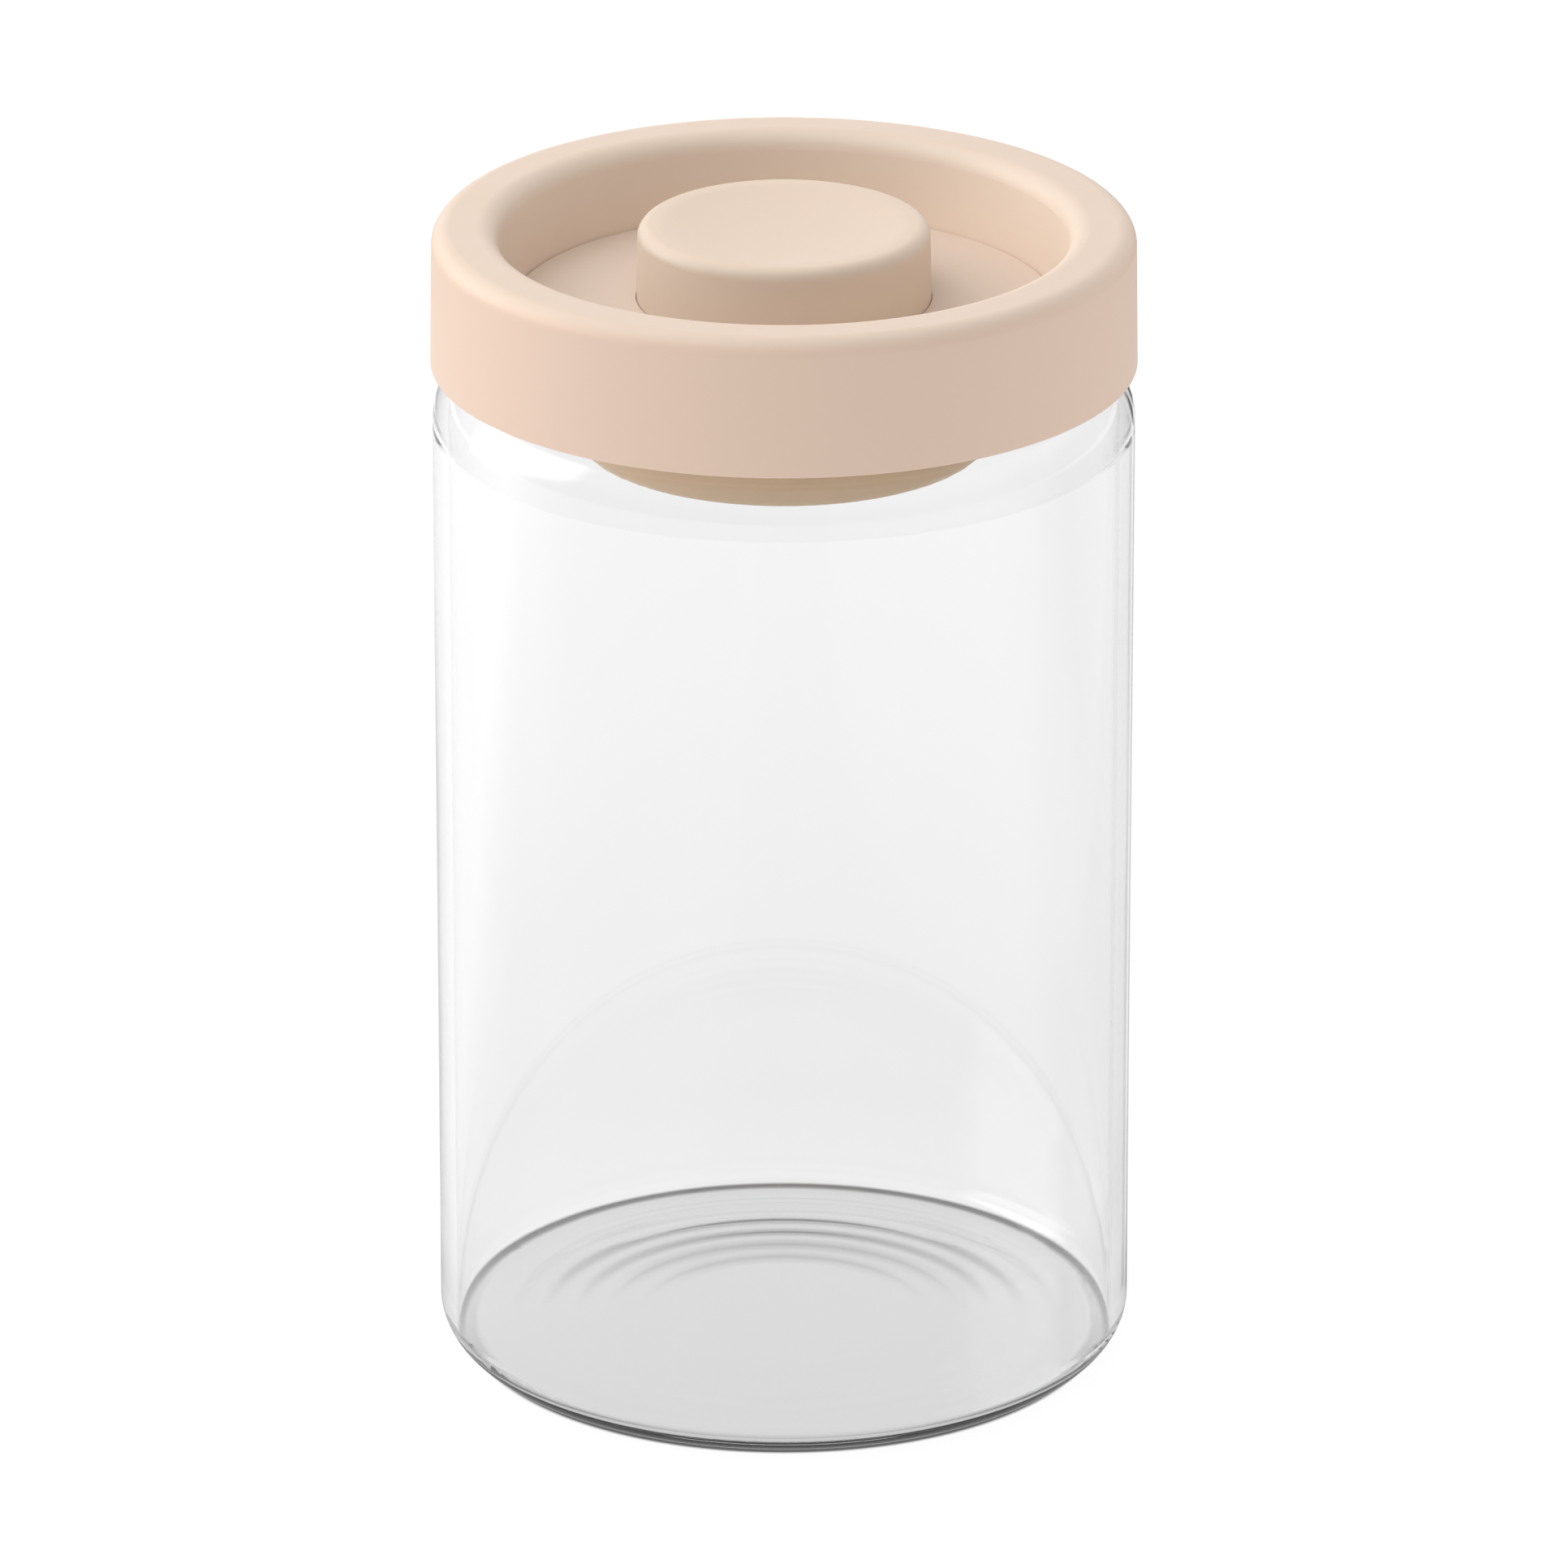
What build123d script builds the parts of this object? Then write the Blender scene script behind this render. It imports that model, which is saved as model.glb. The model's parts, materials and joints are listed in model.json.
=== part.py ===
from build123d import *
from math import asin, cos, degrees, radians, sin, sqrt, tan
import os

os.makedirs("parts", exist_ok=True)

# Vacuum seal canister: a glass jar under a lid that holds a press pump.
# Millimetres. The origin is the middle of the jar's foot, +Z is up, +Y is the back.

# Clearances
running_gap = 0.3  # between pieces that move past each other
fit_gap = 0.1  # between pieces that are pushed or screwed together
seal_gap = 0.05  # between the sliding piston seal and its bore
overrun = 1.0  # how far a cut passes the face that it opens

# Motions that the shapes have to allow
stroke = 6.0  # travel of the pressed knob
vent_travel = 1.2  # rise of the vent plug at the end of the turn
turn_angle = 45.0  # turn of the knob that opens the vent

# Jar
jar_radius = 50.0
jar_height = 158.0
glass_wall = 2.3
base_thickness = 2.5
foot_corner = 6.3
floor_corner = 2.4
foot_width = 1.7
punt_ring_width = 4.7
punt_ring_slopes = (0.095, 0.100, 0.088, 0.075, 0.062)  # the steepest of each, from the edge inward
neck_inset = 5.6
neck_height = 6.7
shoulder_angle = 45.0
shoulder_share = 0.73  # of the sloped stretch that the shoulder's curve takes
neck_share = 0.15  # of the sloped stretch that the curve into the neck takes
rim_share = 0.45  # of the wall that rounds each side of the rim

# Lid shell
lid_overhang = 0.2
lid_draft = 0.3
skirt_wall = 2.0
skirt_drop = 8.5
lid_rise = 11.4
ring_width = 9.1
crest_outer_fillet = 2.6
crest_inner_fillet = 3.0
recess_angle = 10.0
recess_wall = 1.5
recess_depth = 11.7
ledge_thickness = 2.0
ledge_width = 4.15
rib_count = 12
rib_start = 15.0
rib_thickness = 1.2

# Deck plate
deck_thickness = 2.0  # at its edge
deck_rise = 1.1  # of the top, from the edge to the knob's hole
deck_edge_round = 0.3
deck_bore_round = 0.1
knob_gap = 0.04  # round the knob at the plate's underside
retainer_width = 1.4
snap_count = 3
snap_start = 30.0
snap_width = 5.0
snap_leg = 0.9
snap_barb = 0.45
snap_barb_height = 0.7
snap_catch = 0.5

# Jar gasket
gasket_depth = 2.9
gasket_body = 1.5
gasket_height = 3.7
gasket_rise = 1.5
gasket_lip_gap = 0.2
gasket_lip_thickness = 0.6
gasket_lip_slope = 0.6
gasket_lip_count = 2

# Pump housing
housing_wall = 1.8
pump_depth = 12.9
step_depth = 3.6
flange_lip = 1.4
flange_lip_thickness = 1.2
housing_edge_round = 1.0
raised_gap = 1.45
raised_height = 2.7
filter_cup_wall = 1.6

# Screws through the lid shell's ledge
shell_screw_count = 4
shell_screw_start = 45.0
screw_radius = 1.05
screw_head_radius = 1.8
screw_sink_angle = 82.0
screw_head_margin = 0.25
screw_length = 8.0
boss_wall = 1.2
boss_floor = 1.2

# Vent
vent_angle = 90.0
vent_pocket_radius = 2.9
vent_pocket_depth = 2.6
vent_seat_thickness = 1.6
vent_boss_wall = 1.3
vent_hole_radius = 1.4
plug_radius = 2.4
plug_height = 1.3
plug_nose_radius = 1.0
plug_nose_length = 0.8
plug_socket_depth = 0.9
lifter_stem_radius = 0.9
lifter_head_radius = 2.2
lifter_head_height = 1.0
vent_spring_wire = 0.3
vent_spring_radius = 1.6
vent_spring_turns = 2

# Release ring
ring_thickness = 1.8
ring_bore_gap = 0.6
ramp_sections = 7

# Piston
dog_count = 3
dog_start = 90.0
dog_inset = 1.6
dog_depth = 2.6
dog_edge = 1.3
dog_width = 5.0
dog_height = 1.8
piston_web = 1.8
piston_rim = 3.9
seal_groove_depth = 2.2
seal_groove_height = 1.9
tube_wall = 1.6
tube_rise = 5.9
ceiling_thickness = 1.8

# Umbrella valves, one for each way of the air
valve_share = 0.625  # of the raised seat's radius
valve_edge = 0.4
valve_dome = 0.7
valve_stem_radius = 1.0
valve_barb_radius = 1.6
valve_barb_length = 1.1
valve_tip_share = 0.5
port_count = 6
port_radius = 0.9
port_pitch_share = 0.6  # of the valve's radius

# Inlet filter and its cap
cap_disc = 1.0
cap_rim = 1.0
cap_hole_count = 6
cap_hole_radius = 1.0
cap_hole_pitch_share = 0.5
filter_thickness = 0.3

# Return spring
spring_wire = 0.9
spring_gap = 0.65
spring_turns = 6

# Knob
knob_draft = 0.3
knob_wall = 2.2
knob_proud = 0.2
knob_edge_fillet = 1.8
knob_dish = 1.3
knob_dish_share = 0.84
knob_dish_fillet = 6.0
knob_screw_count = 3
knob_screw_start = 30.0
knob_boss_radius = 2.2
knob_boss_bite = 0.1
knob_screw_head = 1.3
knob_screw_head_radius = 2.0
notch_count = 6
notch_width = 4.0
notch_height = 1.0

# Jar, worked out
neck_radius = jar_radius - neck_inset
neck_bore = neck_radius - glass_wall
inner_radius = jar_radius - glass_wall
shoulder_end = jar_height - neck_height
shoulder_start = shoulder_end - neck_inset / tan(radians(shoulder_angle))
half_turn = tan(radians(shoulder_angle / 2))
slope_length = neck_inset / sin(radians(shoulder_angle))
shoulder_radius = shoulder_share * slope_length / half_turn
neck_fillet = neck_share * slope_length / half_turn
inner_drop = glass_wall * half_turn
rim_round = rim_share * glass_wall
foot_bore = jar_radius - foot_corner - foot_width
punt_radius = foot_bore - len(punt_ring_slopes) * punt_ring_width
punt_height = sum(punt_ring_slopes) * punt_ring_width / 2

# Lid heights and radii, worked out from the crest down
skirt_radius = jar_radius + lid_overhang
lid_top_radius = skirt_radius - lid_draft
crest_height = jar_height + lid_rise
skirt_end = jar_height - skirt_drop
crest_bore = lid_top_radius - ring_width
recess_slope = tan(radians(recess_angle))
recess_wall_across = recess_wall / cos(radians(recess_angle))
deck_top = crest_height - recess_depth
ledge_top = deck_top - deck_thickness
ledge_end = ledge_top - ledge_thickness
recess_foot = crest_bore - (crest_height - ledge_top) * recess_slope
ledge_bore = recess_foot - ledge_width
cavity_top = crest_height - skirt_wall
rib_end = jar_height + running_gap
gasket_seat = neck_bore - gasket_depth
gasket_top = ledge_end + gasket_rise
gasket_end = gasket_top - gasket_height

# Pump, worked out from the ledge inward
step_bore = ledge_bore + snap_catch
step_radius = step_bore + housing_wall
housing_radius = step_bore - 2 * vent_pocket_radius - running_gap
bore_radius = housing_radius - housing_wall
piston_radius = bore_radius - running_gap
knob_radius = piston_radius - dog_edge - dog_depth - dog_inset
knob_bore = knob_radius - knob_wall
knob_screw_pitch = knob_bore + knob_boss_bite - knob_boss_radius
tube_radius = knob_screw_pitch - knob_boss_radius - running_gap - tube_wall
spring_radius = tube_radius - spring_gap - spring_wire / 2
raised_radius = spring_radius - spring_wire / 2 - raised_gap
valve_radius = raised_radius * valve_share
port_pitch = valve_radius * port_pitch_share
cup_radius = raised_radius - filter_cup_wall

# Pump housing, worked out
flange_top = ledge_end - step_depth
flange_end = flange_top - housing_wall
lip_end = gasket_end - flange_lip_thickness
pump_end = flange_top - pump_depth
pump_floor = pump_end + housing_wall
raised_top = pump_floor + raised_height
filter_roof = raised_top - housing_wall
shell_screw_pitch = recess_foot - screw_head_radius - screw_head_margin
screw_bore = screw_radius + seal_gap
screw_head_height = (screw_head_radius - screw_radius) / tan(radians(screw_sink_angle / 2))
boss_end = ledge_top - screw_length - fit_gap - boss_floor

# Vent and release ring, worked out
vent_pitch = (housing_radius + step_bore) / 2
vent_seat = flange_top - vent_pocket_depth
plug_end = vent_seat + fit_gap
plug_top = plug_end + plug_height
ring_end = flange_top + running_gap
ring_top = ring_end + ring_thickness
lifter_head_end = ring_top + running_gap
lifter_head_top = lifter_head_end + lifter_head_height
ring_bore = knob_radius + ring_bore_gap
ring_radius = step_bore - running_gap
slot_half_width = lifter_stem_radius + running_gap

# Piston and knob, worked out
piston_top = flange_top
piston_end = pump_floor + stroke + running_gap
web_end = piston_top - piston_web
groove_end = (piston_top + piston_end - seal_groove_height) / 2
groove_bore = piston_radius - seal_groove_depth
ceiling_end = piston_top + tube_rise
ceiling_top = ceiling_end + ceiling_thickness
dog_pitch = knob_radius + dog_inset + dog_depth / 2
knob_top = crest_height + knob_proud
knob_top_radius = knob_radius - knob_draft
knob_ceiling = knob_top - knob_dish - knob_wall
knob_taper = knob_draft / (knob_top - piston_top)
deck_bore = knob_radius - knob_taper * (ledge_top - piston_top) + knob_gap


def radial_plane(angle):
    """The upright plane at this angle about Z: its X runs outward and its Y runs up."""
    outward = (cos(radians(angle)), sin(radians(angle)), 0)
    sideways = (sin(radians(angle)), -cos(radians(angle)), 0)
    return Plane(origin=(0, 0, 0), x_dir=outward, z_dir=sideways)


def punt_arcs():
    """Draws the underside of the jar's base: shallow rings that climb from the foot to the middle."""
    edge = Vector(foot_bore, 0)
    for slope in punt_ring_slopes:
        step = Vector(-punt_ring_width / 2, slope * punt_ring_width / 4)
        TangentArc(edge, edge + step, tangent=(-1, 0))
        TangentArc(edge + 2 * step, edge + step, tangent=(1, 0))
        edge += 2 * step


def recess_radius(height):
    """The radius of the recess's sloped wall at this height."""
    return crest_bore - (crest_height - height) * recess_slope


def umbrella_outline(seat, wall):
    """The half outline of an umbrella valve on a seat, with its stem through the wall."""
    barb_top = seat - wall
    barb_end = barb_top - valve_barb_length
    return [
        (0, barb_end),
        (valve_barb_radius * valve_tip_share, barb_end),
        (valve_barb_radius, barb_top),
        (valve_stem_radius, barb_top),
        (valve_stem_radius, seat),
        (valve_radius, seat),
        (valve_radius, seat + valve_edge),
        (0, seat + valve_edge + valve_dome),
    ]


def coil_path(centre, radius, start, pitch, turns):
    """A coil of half turns: each is an arc in a tilted plane, level where two meet."""
    climb = pitch / 2
    middle_radius = sqrt(radius ** 2 + (climb / 2) ** 2)
    for index in range(2 * turns):
        side = 1 if index % 2 == 0 else -1
        low = start + index * climb
        begin = centre + Vector(0, -side * radius, low)
        middle = centre + Vector(side * middle_radius, 0, low + climb / 2)
        end = centre + Vector(0, side * radius, low + climb)
        ThreePointArc(begin, middle, end)


# Glass jar: body, sloped shoulder and straight neck in one blown piece, hollowed by shallow rings below
with BuildPart() as glass_jar:
    with BuildSketch(Plane.XZ):
        with BuildLine():
            FilletPolyline(
                (foot_bore, 0),
                (jar_radius, 0),
                (jar_radius, shoulder_start),
                (neck_radius, shoulder_end),
                (neck_radius, jar_height),
                (neck_bore, jar_height),
                (neck_bore, shoulder_end - inner_drop),
                (inner_radius, shoulder_start - inner_drop),
                (inner_radius, base_thickness),
                (0, base_thickness),
                radius=[
                    foot_corner,
                    shoulder_radius,
                    neck_fillet,
                    rim_round,
                    rim_round,
                    neck_fillet + glass_wall,
                    shoulder_radius - glass_wall,
                    floor_corner,
                ],
            )
            Polyline((0, base_thickness), (0, punt_height), (punt_radius, punt_height))
            punt_arcs()
        make_face()
    revolve(axis=Axis.Z)
glass_jar.part.label = "glass_jar"
export_step(glass_jar.part, "parts/glass_jar.step")


# Lid shell: skirt, rounded ring, sloped recess wall and the ledge that carries the rest
with BuildPart() as lid_shell:
    with BuildSketch(Plane.XZ):
        with BuildLine():
            Polyline(
                (skirt_radius, skirt_end),
                (lid_top_radius, crest_height),
                (crest_bore, crest_height),
                (recess_foot, ledge_top),
                (ledge_bore, ledge_top),
                (ledge_bore, ledge_end),
                (gasket_seat, ledge_end),
                (gasket_seat, gasket_top),
                (recess_radius(gasket_top) + recess_wall_across, gasket_top),
                (recess_radius(cavity_top) + recess_wall_across, cavity_top),
                (lid_top_radius - skirt_wall, cavity_top),
                (skirt_radius - skirt_wall, skirt_end),
                close=True,
            )
        make_face()
    revolve(axis=Axis.Z)
    fillet(lid_shell.edges().group_by(Axis.Z)[-1].sort_by(SortBy.RADIUS)[-1], crest_outer_fillet)
    fillet(lid_shell.edges().group_by(Axis.Z)[-1].sort_by(SortBy.RADIUS)[0], crest_inner_fillet)
    # Ribs inside the ring rest the lid on the jar's rim
    for index in range(rib_count):
        with BuildSketch(radial_plane(rib_start + index * 360 / rib_count)):
            with BuildLine():
                Polyline(
                    (recess_radius(rib_end) + recess_wall / 2, rib_end),
                    (skirt_radius - skirt_wall / 2, rib_end),
                    (lid_top_radius - skirt_wall / 2, cavity_top + skirt_wall / 2),
                    (recess_radius(cavity_top) + recess_wall, cavity_top + skirt_wall / 2),
                    close=True,
                )
            make_face()
        extrude(amount=rib_thickness / 2, both=True)
    with Locations(Plane.XY.offset(ledge_top)):
        with PolarLocations(shell_screw_pitch, shell_screw_count, shell_screw_start):
            CounterSinkHole(
                radius=screw_radius + fit_gap,
                counter_sink_radius=screw_head_radius + 2 * fit_gap,
                depth=ledge_thickness + overrun,
                counter_sink_angle=screw_sink_angle,
            )
lid_shell.part.label = "lid_shell"
export_step(lid_shell.part, "parts/lid_shell.step")


# Deck plate: the recess's floor, a shallow cone that snaps under the ledge and hides the screws
with BuildPart() as deck_plate:
    with BuildSketch(Plane.XZ):
        with BuildLine():
            FilletPolyline(
                (deck_bore, ledge_top),
                (recess_foot - fit_gap, ledge_top),
                (recess_radius(deck_top) - fit_gap, deck_top),
                (deck_bore, deck_top + deck_rise),
                radius=[0, 0, deck_edge_round, deck_bore_round],
                close=True,
            )
        make_face()
    revolve(axis=Axis.Z)
    # The retainer under the plate holds the release ring down
    retainer_radius = (dog_pitch + dog_depth / 2 + running_gap + vent_pitch - lifter_head_radius) / 2
    retainer_end = ring_top + running_gap
    with BuildSketch(Plane.XY.offset(retainer_end)):
        Circle(retainer_radius + retainer_width / 2)
        Circle(retainer_radius - retainer_width / 2, mode=Mode.SUBTRACT)
    extrude(amount=ledge_top - retainer_end)
    # Snap legs reach down inside the ledge and catch under it
    leg_outside = ledge_bore - fit_gap
    barb_top = ledge_end - fit_gap
    for index in range(snap_count):
        with BuildSketch(radial_plane(snap_start + index * 360 / snap_count)):
            with BuildLine():
                Polyline(
                    (leg_outside - snap_leg, ledge_top),
                    (leg_outside, ledge_top),
                    (leg_outside, barb_top),
                    (leg_outside + snap_barb, barb_top),
                    (leg_outside, barb_top - snap_barb_height),
                    (leg_outside - snap_leg, barb_top - snap_barb_height),
                    close=True,
                )
            make_face()
        extrude(amount=snap_width / 2, both=True)
deck_plate.part.label = "deck_plate"
export_step(deck_plate.part, "parts/deck_plate.step")


# Jar gasket: a ring in the groove under the ledge, with lips that wipe the neck
with BuildPart() as jar_gasket:
    gasket_radius = gasket_seat + gasket_body
    lip_reach = neck_bore - gasket_lip_gap
    with BuildSketch(Plane.XZ):
        with BuildLine():
            Polyline(
                (gasket_seat, gasket_end),
                (gasket_radius, gasket_end),
                (gasket_radius, gasket_top),
                (gasket_seat, gasket_top),
                close=True,
            )
        make_face()
        for index in range(gasket_lip_count):
            root = gasket_end + index * gasket_height / gasket_lip_count + gasket_lip_thickness / 2
            with BuildLine():
                Polyline(
                    (gasket_seat + gasket_body / 2, root),
                    (gasket_radius, root),
                    (lip_reach, root + gasket_lip_slope),
                    (lip_reach, root + gasket_lip_slope + gasket_lip_thickness / 2),
                    (gasket_radius, root + gasket_lip_thickness),
                    (gasket_seat + gasket_body / 2, root + gasket_lip_thickness),
                    close=True,
                )
            make_face()
    revolve(axis=Axis.Z)
jar_gasket.part.label = "jar_gasket"
export_step(jar_gasket.part, "parts/jar_gasket.step")


# Pump housing: the plug in the jar's neck, with the bore, the flange and the filter cup
with BuildPart() as pump_housing:
    with BuildSketch(Plane.XZ):
        with BuildLine():
            Polyline(
                (0, filter_roof),
                (cup_radius, filter_roof),
                (cup_radius, pump_end),
                (housing_radius, pump_end),
                (housing_radius, flange_end),
                (step_radius, flange_end),
                (step_radius, lip_end),
                (gasket_seat + flange_lip, lip_end),
                (gasket_seat + flange_lip, gasket_end),
                (gasket_seat, gasket_end),
                (gasket_seat, ledge_end),
                (step_bore, ledge_end),
                (step_bore, flange_top),
                (bore_radius, flange_top),
                (bore_radius, pump_floor),
                (raised_radius, pump_floor),
                (raised_radius, raised_top),
                (0, raised_top),
                close=True,
            )
        make_face()
    revolve(axis=Axis.Z)
    fillet(pump_housing.edges().group_by(Axis.Z)[0].sort_by(SortBy.RADIUS)[-1], housing_edge_round)
    with BuildSketch(Plane.XY.offset(boss_end)):
        with PolarLocations(shell_screw_pitch, shell_screw_count, shell_screw_start):
            Circle(screw_bore + boss_wall)
    extrude(amount=lip_end + flange_lip_thickness / 2 - boss_end)
    with BuildSketch(Plane.XY.offset(flange_top)):
        Circle(step_bore)
    extrude(amount=step_depth + overrun, mode=Mode.SUBTRACT)
    with BuildSketch(Plane.XY.offset(boss_end + boss_floor)):
        with PolarLocations(shell_screw_pitch, shell_screw_count, shell_screw_start):
            Circle(screw_bore)
    extrude(amount=ledge_top - boss_end, mode=Mode.SUBTRACT)
    # The vent's pocket hangs from the flange, with its seat and hole at the bottom
    with BuildSketch(Plane.XY.offset(vent_seat - vent_seat_thickness)):
        with PolarLocations(vent_pitch, 1, vent_angle):
            Circle(vent_pocket_radius + vent_boss_wall)
    extrude(amount=vent_seat_thickness + vent_pocket_depth / 2)
    with BuildSketch(Plane.XY.offset(vent_seat)):
        with PolarLocations(vent_pitch, 1, vent_angle):
            Circle(vent_pocket_radius)
    extrude(amount=vent_pocket_depth + overrun, mode=Mode.SUBTRACT)
    with BuildSketch(Plane.XY.offset(vent_seat - vent_seat_thickness - overrun)):
        with PolarLocations(vent_pitch, 1, vent_angle):
            Circle(vent_hole_radius)
    extrude(amount=vent_seat_thickness + 2 * overrun, mode=Mode.SUBTRACT)
    # Inlet ports around the hole for the valve's stem
    with BuildSketch(Plane.XY.offset(filter_roof - overrun)):
        Circle(valve_stem_radius + fit_gap)
        with PolarLocations(port_pitch, port_count):
            Circle(port_radius)
    extrude(amount=housing_wall + 2 * overrun, mode=Mode.SUBTRACT)
pump_housing.part.label = "pump_housing"
export_step(pump_housing.part, "parts/pump_housing.step")


# Shell screws: four countersunk screws from the ledge down into the housing's bosses
with BuildPart() as shell_screws:
    for index in range(shell_screw_count):
        angle = shell_screw_start + index * 360 / shell_screw_count
        screw_axis = Axis(
            origin=(shell_screw_pitch * cos(radians(angle)), shell_screw_pitch * sin(radians(angle)), 0),
            direction=(0, 0, 1),
        )
        with BuildSketch(radial_plane(angle)):
            with BuildLine():
                Polyline(
                    (shell_screw_pitch, ledge_top - screw_length),
                    (shell_screw_pitch + screw_radius, ledge_top - screw_length + screw_radius),
                    (shell_screw_pitch + screw_radius, ledge_top - fit_gap - screw_head_height),
                    (shell_screw_pitch + screw_head_radius, ledge_top - fit_gap),
                    (shell_screw_pitch, ledge_top - fit_gap),
                    close=True,
                )
            make_face()
        revolve(axis=screw_axis)
shell_screws.part.label = "shell_screws"
export_step(shell_screws.part, "parts/shell_screws.step")


# Inlet valve: lets air out of the jar into the pump's chamber, and not back
with BuildPart() as inlet_valve:
    with BuildSketch(Plane.XZ):
        with BuildLine():
            Polyline(*umbrella_outline(raised_top, housing_wall), close=True)
        make_face()
    revolve(axis=Axis.Z)
inlet_valve.part.label = "inlet_valve"
export_step(inlet_valve.part, "parts/inlet_valve.step")


# Filter cap: a perforated cup pushed into the housing's underside
with BuildPart() as filter_cap:
    cap_radius = cup_radius - seal_gap
    with BuildSketch(Plane.XY.offset(pump_end)):
        Circle(cap_radius)
    extrude(amount=filter_roof - pump_end - fit_gap)
    with BuildSketch(Plane.XY.offset(pump_end + cap_disc)):
        Circle(cap_radius - cap_rim)
    extrude(amount=filter_roof - pump_end, mode=Mode.SUBTRACT)
    with BuildSketch(Plane.XY.offset(pump_end)):
        Circle(cap_hole_radius)
        with PolarLocations(cap_radius * cap_hole_pitch_share, cap_hole_count):
            Circle(cap_hole_radius)
    extrude(amount=cap_disc + overrun, mode=Mode.SUBTRACT)
filter_cap.part.label = "filter_cap"
export_step(filter_cap.part, "parts/filter_cap.step")


# Inlet filter: a thin felt disc that lies in the cap
with BuildPart() as inlet_filter:
    with BuildSketch(Plane.XY.offset(pump_end + cap_disc)):
        Circle(cap_radius - cap_rim - seal_gap)
    extrude(amount=filter_thickness)
inlet_filter.part.label = "inlet_filter"
export_step(inlet_filter.part, "parts/inlet_filter.step")


# Return spring: stands on the pump's floor and pushes the piston's ceiling up
with BuildPart() as return_spring:
    spring_start = pump_floor + spring_wire / 2 + seal_gap
    spring_pitch = (ceiling_end - spring_wire / 2 - seal_gap - spring_start) / spring_turns
    with BuildLine():
        coil_path(Vector(0, 0, 0), spring_radius, spring_start, spring_pitch, spring_turns)
    with BuildSketch(Plane(origin=(0, -spring_radius, spring_start), z_dir=(1, 0, 0))):
        Circle(spring_wire / 2)
    sweep()
return_spring.part.label = "return_spring"
export_step(return_spring.part, "parts/return_spring.step")


# Release ring: turns with the knob, and its ramps lift the vent
with BuildPart() as release_ring:
    with BuildSketch(Plane.XY.offset(ring_end)):
        Circle(ring_radius)
        Circle(ring_bore, mode=Mode.SUBTRACT)
        with PolarLocations(dog_pitch, dog_count, dog_start):
            Rectangle(dog_depth + 2 * running_gap, dog_width + 2 * running_gap, mode=Mode.SUBTRACT)
    extrude(amount=ring_thickness)
    # Two ramps flank the slot, level with the ring where the lifter's head rests
    head_half_angle = degrees(asin(lifter_head_radius / vent_pitch))
    ramp_step = turn_angle / (ramp_sections - 1)
    for ramp_inside in (vent_pitch - lifter_head_radius, vent_pitch + slot_half_width):
        ramp_width = lifter_head_radius - slot_half_width
        ramp_base = ring_top - ring_thickness / 2
        for index in range(ramp_sections):
            rise = vent_travel * index / (ramp_sections - 1)
            with BuildSketch(radial_plane(vent_angle - head_half_angle - index * ramp_step)):
                with Locations((ramp_inside, ramp_base)):
                    Rectangle(ramp_width, ring_thickness / 2 + rise, align=(Align.MIN, Align.MIN))
        loft(ruled=True)
    # The lifter's stem stands in this slot while the ring turns under it
    with BuildSketch(Plane.XY.offset(ring_end - overrun)):
        slot_line = CenterArc((0, 0), vent_pitch, vent_angle - turn_angle, turn_angle, mode=Mode.PRIVATE)
        SlotArc(slot_line, height=2 * slot_half_width)
    extrude(amount=ring_thickness + vent_travel + 2 * overrun, mode=Mode.SUBTRACT)
release_ring.part.label = "release_ring"
export_step(release_ring.part, "parts/release_ring.step")


# Vent plug: the soft disc that closes the vent's hole
with BuildPart() as vent_plug:
    with BuildSketch(Plane.XY.offset(plug_end)):
        with PolarLocations(vent_pitch, 1, vent_angle):
            Circle(plug_radius)
    extrude(amount=plug_height)
    with BuildSketch(Plane.XY.offset(plug_end - plug_nose_length)):
        with PolarLocations(vent_pitch, 1, vent_angle):
            Circle(plug_nose_radius)
    extrude(amount=plug_nose_length)
    with BuildSketch(Plane.XY.offset(plug_top - plug_socket_depth)):
        with PolarLocations(vent_pitch, 1, vent_angle):
            Circle(lifter_stem_radius)
    extrude(amount=plug_socket_depth + overrun, mode=Mode.SUBTRACT)
vent_plug.part.label = "vent_plug"
export_step(vent_plug.part, "parts/vent_plug.step")


# Vent lifter: a headed pin, its foot in the plug and its head above the ramps
with BuildPart() as vent_lifter:
    with BuildSketch(Plane.XY.offset(plug_top - plug_socket_depth)):
        with PolarLocations(vent_pitch, 1, vent_angle):
            Circle(lifter_stem_radius)
    extrude(amount=lifter_head_top - plug_top + plug_socket_depth)
    with BuildSketch(Plane.XY.offset(lifter_head_end)):
        with PolarLocations(vent_pitch, 1, vent_angle):
            Circle(lifter_head_radius)
    extrude(amount=lifter_head_height)
vent_lifter.part.label = "vent_lifter"
export_step(vent_lifter.part, "parts/vent_lifter.step")


# Vent spring: a light coil between the lifter's head and the deck that keeps the vent shut
with BuildPart() as vent_spring:
    vent_place = Vector(vent_pitch * cos(radians(vent_angle)), vent_pitch * sin(radians(vent_angle)), 0)
    vent_spring_start = lifter_head_top + vent_spring_wire / 2 + seal_gap
    vent_spring_height = ledge_top - vent_spring_wire / 2 - seal_gap - vent_spring_start
    with BuildLine():
        coil_path(
            vent_place,
            vent_spring_radius,
            vent_spring_start,
            vent_spring_height / vent_spring_turns,
            vent_spring_turns,
        )
    wire_start = vent_place + Vector(0, -vent_spring_radius, vent_spring_start)
    with BuildSketch(Plane(origin=wire_start, z_dir=(1, 0, 0))):
        Circle(vent_spring_wire / 2)
    sweep()
vent_spring.part.label = "vent_spring"
export_step(vent_spring.part, "parts/vent_spring.step")


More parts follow.
